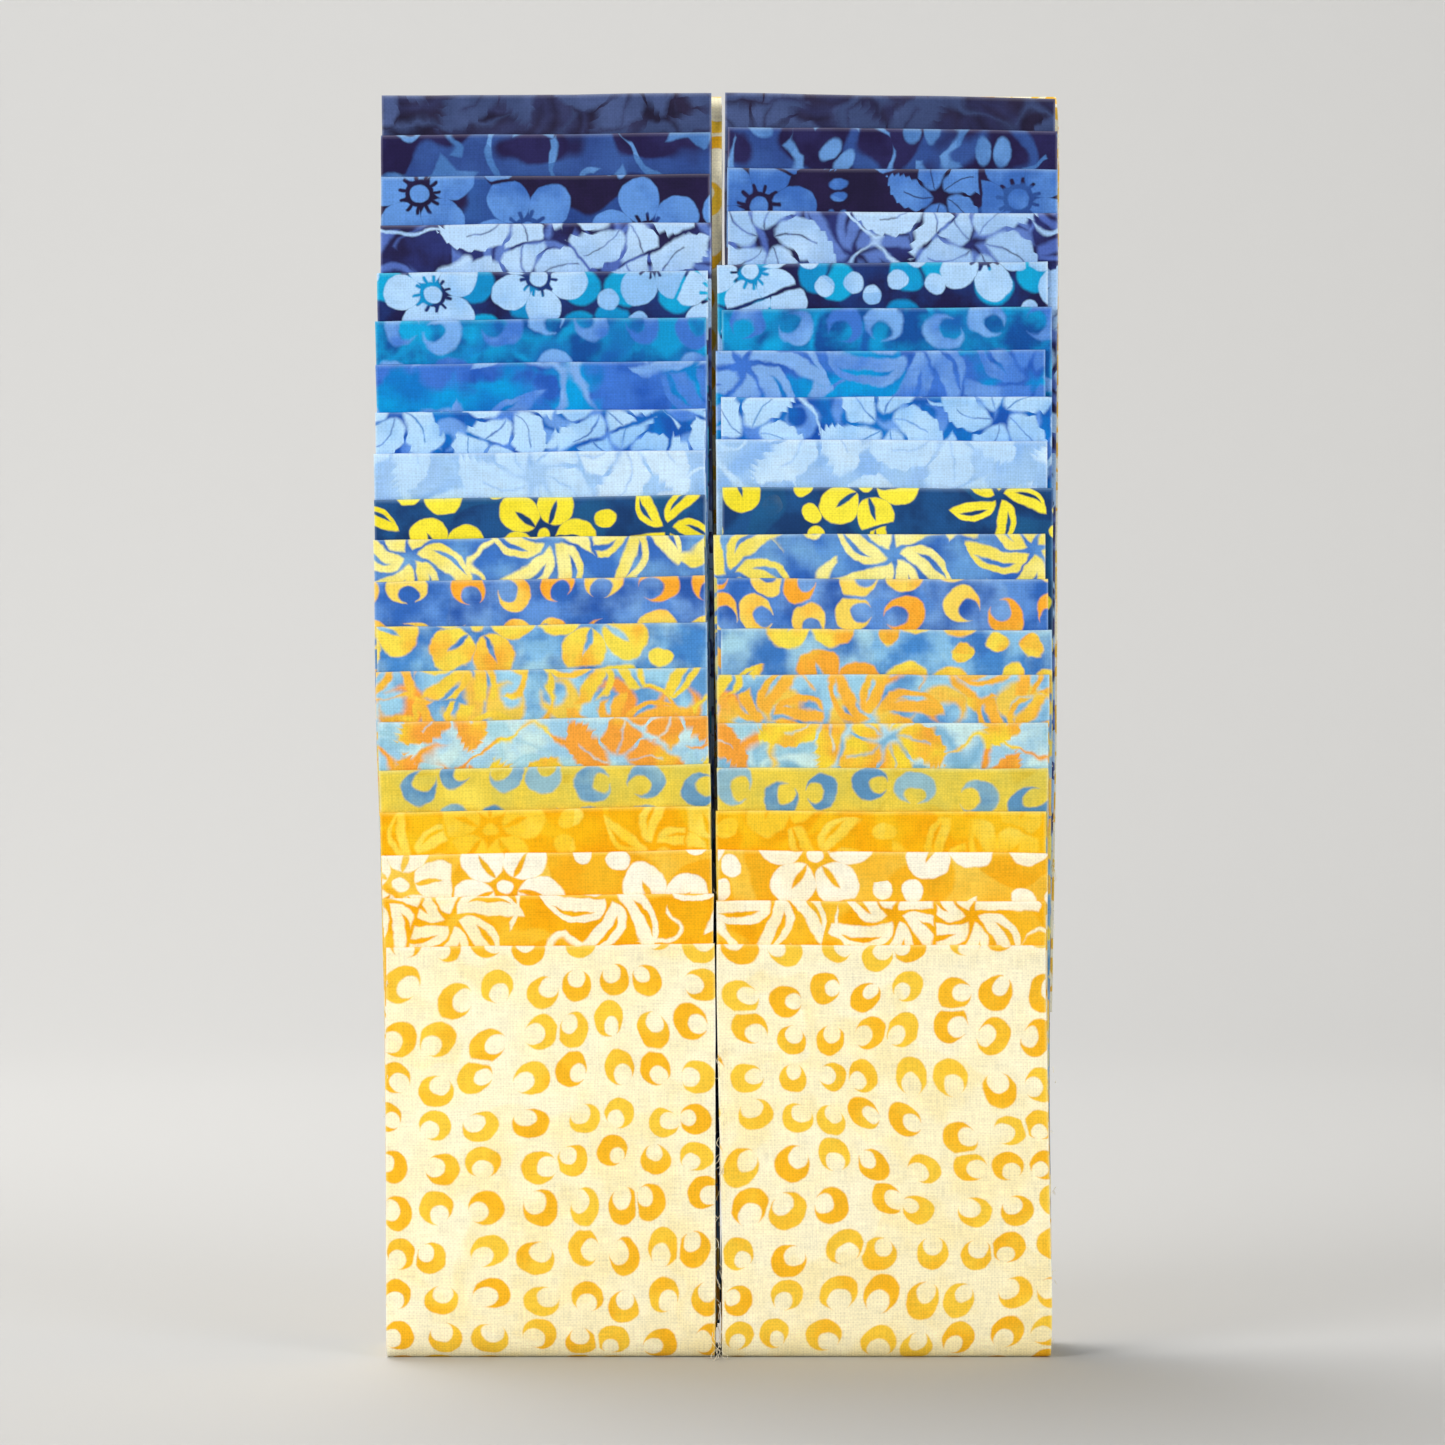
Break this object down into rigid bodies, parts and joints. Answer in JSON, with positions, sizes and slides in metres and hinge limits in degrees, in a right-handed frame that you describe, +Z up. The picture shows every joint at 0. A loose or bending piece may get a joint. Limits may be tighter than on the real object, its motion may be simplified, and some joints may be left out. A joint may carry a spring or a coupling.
{
  "type": "folded fabric strip bundle",
  "caption": "Bundle of printed cotton strips folded double and laid in steps so that each fold shows, turned under at the base to stand on end in side-by-side columns.",
  "frame": {"origin": "middle of the base, under the bundle's bounding box", "axes": "+Z up along the strips, the stepped face looks along -Y, +X to the right of that face"},
  "size_m": [0.1319, 0.0404, 0.2446],
  "materials": {
    "print_01_ink": "matt woven cotton, near-black navy with a faint slate leaf",
    "print_02_midnight": "matt woven cotton, dark navy with mid-blue dots and leaves",
    "print_03_navy": "matt woven cotton, near-black navy with blue flowers",
    "print_04_periwinkle": "matt woven cotton, navy with pale-blue leaves",
    "print_05_dark_turquoise": "matt woven cotton, dark navy with turquoise and pale-blue flowers",
    "print_06_turquoise": "matt woven cotton, turquoise with blurred crescents",
    "print_07_blue_violet": "matt woven cotton, mid-blue leaves with turquoise patches",
    "print_08_bright_blue": "matt woven cotton, bright blue with pale-blue leaves",
    "print_09_pale_blue": "matt woven cotton, pale blue, tone on tone",
    "print_10_deep_teal": "matt woven cotton, deep teal with yellow flowers",
    "print_11_denim": "matt woven cotton, mid-blue with pale-yellow leaves",
    "print_12_harbour_blue": "matt woven cotton, blue with orange crescents",
    "print_13_haze": "matt woven cotton, light blue with blurred yellow leaves",
    "print_14_dawn": "matt woven cotton, pale blue with yellow and orange patches",
    "print_15_shell": "matt woven cotton, yellow, orange and pale-blue patches",
    "print_16_ochre": "matt woven cotton, ochre with light-blue crescents",
    "print_17_gold": "matt woven cotton, golden yellow with faint flowers",
    "print_18_gold_and_white": "matt woven cotton, golden yellow with white flowers",
    "print_19_gold_and_cream": "matt woven cotton, golden yellow with cream leaves",
    "print_20_cream": "matt woven cotton, cream with yellow crescents"
  },
  "bodies": {
    "root": {"strip_left_01": "print_01_ink", "strip_left_02": "print_02_midnight", "strip_left_03": "print_03_navy", "strip_left_04": "print_04_periwinkle", "strip_left_05": "print_05_dark_turquoise", "strip_left_06": "print_06_turquoise", "strip_left_07": "print_07_blue_violet", "strip_left_08": "print_08_bright_blue", "strip_left_09": "print_09_pale_blue", "strip_left_10": "print_10_deep_teal", "strip_left_11": "print_11_denim", "strip_left_12": "print_12_harbour_blue", "strip_left_13": "print_13_haze", "strip_left_14": "print_14_dawn", "strip_left_15": "print_15_shell", "strip_left_16": "print_16_ochre", "strip_left_17": "print_17_gold", "strip_left_18": "print_18_gold_and_white", "strip_left_19": "print_19_gold_and_cream", "strip_left_20": "print_20_cream", "strip_right_01": "print_01_ink", "strip_right_02": "print_02_midnight", "strip_right_03": "print_03_navy", "strip_right_04": "print_04_periwinkle", "strip_right_05": "print_05_dark_turquoise", "strip_right_06": "print_06_turquoise", "strip_right_07": "print_07_blue_violet", "strip_right_08": "print_08_bright_blue", "strip_right_09": "print_09_pale_blue", "strip_right_10": "print_10_deep_teal", "strip_right_11": "print_11_denim", "strip_right_12": "print_12_harbour_blue", "strip_right_13": "print_13_haze", "strip_right_14": "print_14_dawn", "strip_right_15": "print_15_shell", "strip_right_16": "print_16_ochre", "strip_right_17": "print_17_gold", "strip_right_18": "print_18_gold_and_white", "strip_right_19": "print_19_gold_and_cream", "strip_right_20": "print_20_cream"}
  },
  "joints": []
}
